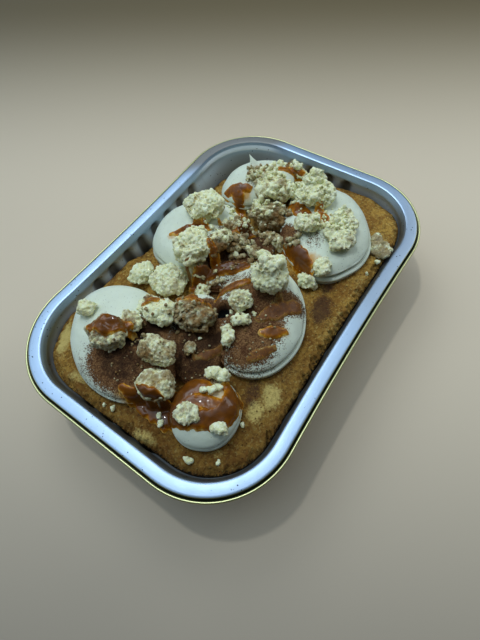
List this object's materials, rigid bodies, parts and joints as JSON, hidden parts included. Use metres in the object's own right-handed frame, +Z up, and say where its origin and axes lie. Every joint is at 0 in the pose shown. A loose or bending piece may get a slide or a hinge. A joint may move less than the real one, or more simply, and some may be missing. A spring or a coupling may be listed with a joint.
{
  "type": "crumb coffee cake",
  "caption": "Golden coffee cake baked in a fluted foil tray, topped with piped cream, streusel clumps, caramel and cinnamon.",
  "frame": {"origin": "centre of the tray's flat base, on the surface that it stands on", "axes": "+X along the tray's long side, +Y across it, +Z up"},
  "size_m": [0.2, 0.14, 0.0709],
  "materials": {
    "foil": "satin",
    "crust": "matte",
    "cream": "satin",
    "streusel": "matte"
  },
  "bodies": {
    "root": {"foil_tray": "foil", "cake": "crust", "cream_front_left": "cream", "cream_front_right": "cream", "cream_middle_right": "cream", "cream_middle_left": "cream", "cream_back_right": "cream", "cream_back_left": "cream", "crumb_standing": "streusel", "crumb_left_back": "streusel", "crumb_left_front": "streusel", "crumb_back_wide": "streusel", "crumb_heap_lower": "streusel", "crumb_heap_upper": "streusel", "crumb_back_crest": "streusel", "crumb_back_edge": "streusel", "crumb_right_upper": "streusel", "crumb_right_long": "streusel", "crumb_right_edge": "streusel", "crumb_right_low": "streusel", "crumb_left_corner": "streusel", "crumb_left_block": "streusel", "crumb_left_rim": "streusel", "crumb_caramel": "streusel", "crumb_front_long": "streusel", "crumb_front_broad": "streusel", "crumb_front_dark": "streusel", "crumb_front_pale": "streusel", "crumb_small_front": "streusel", "crumb_middle": "streusel", "crumb_middle_low": "streusel", "crumb_middle_flat": "streusel", "crumb_between": "streusel", "crumb_pool": "streusel", "crumb_pool_edge": "streusel", "crumb_gap": "streusel", "crumb_fold": "streusel", "crumb_stained": "streusel", "crumb_behind": "streusel", "crumb_on_crust": "streusel", "crumb_hollow": "streusel", "crumb_bridge": "streusel", "cream_valley_front": "cream", "cream_valley_back": "cream", "crumb_left_side": "streusel", "crumb_top_edge": "streusel", "crumb_back_link": "streusel", "crumb_front_link": "streusel", "crumb_broad_end": "streusel"}
  },
  "joints": []
}
